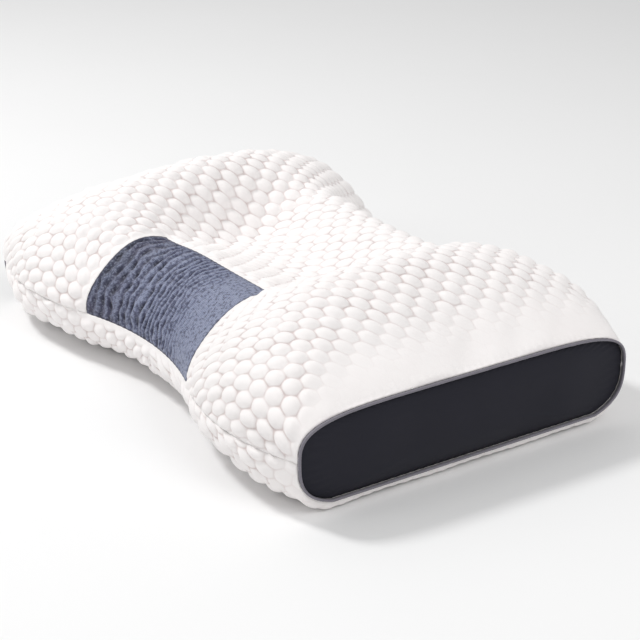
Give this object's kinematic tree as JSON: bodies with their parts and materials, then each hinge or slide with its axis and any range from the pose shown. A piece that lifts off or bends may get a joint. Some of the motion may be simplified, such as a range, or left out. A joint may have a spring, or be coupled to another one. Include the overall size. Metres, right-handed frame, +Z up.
{
  "type": "contoured neck pillow",
  "caption": "Hourglass-shaped neck pillow with raised side wings, neck roll, head hollow, dark end panels with piping and a zip in the back seam.",
  "frame": {"origin": "middle of the box's bottom face, on the surface the pillow lies on", "axes": "+X along the pillow's length, -Y the neck side with the slate panel, +Z up"},
  "size_m": [0.6428, 0.4387, 0.1779],
  "materials": {
    "white_knit": "soft bubble knit, matt with a faint sheen",
    "slate_knit": "rippled fine knit, satin sheen",
    "navy_cloth": "fine matt knit",
    "grey_piping": "woven tape over cord",
    "fibre_fill": "loose white fibre",
    "liner_cloth": "thin nonwoven cloth",
    "zip_tape": "woven tape",
    "zip_coil": "moulded nylon",
    "zip_metal": "nickel plated",
    "satin_label": "blank satin ribbon"
  },
  "bodies": {
    "pillow": {"top_cover": "white_knit", "bottom_cover": "white_knit", "neck_panel": "slate_knit", "end_panel_right": "navy_cloth", "end_panel_left": "navy_cloth", "end_piping_right": "grey_piping", "end_piping_left": "grey_piping", "wing_core_right": "fibre_fill", "wing_core_left": "fibre_fill", "neck_roll_core": "fibre_fill", "head_core": "fibre_fill", "side_wall_right": "liner_cloth", "side_wall_left": "liner_cloth", "neck_wall": "liner_cloth", "zip_tape_upper": "zip_tape", "zip_tape_lower": "zip_tape", "zip_coil_upper": "zip_coil", "zip_coil_lower": "zip_coil", "zip_stop_right": "zip_metal", "zip_stop_left": "zip_metal", "care_label": "satin_label"},
    "slider": {"zip_slider": "zip_metal"},
    "pull_tab": {"zip_pull_tab": "zip_metal"}
  },
  "joints": [
    {"name": "zip_run", "type": "hinge", "parent": "pillow", "child": "slider", "pos_m": [0, 0.50631, 0.061], "axis": [0, 0, 1], "range_deg": [0, 35.2]},
    {"name": "tab_swing", "type": "hinge", "parent": "slider", "child": "pull_tab", "pos_m": [-0.09776, 0.19813, 0.061], "axis": [0, 0, 1], "range_deg": [0, 170]}
  ]
}
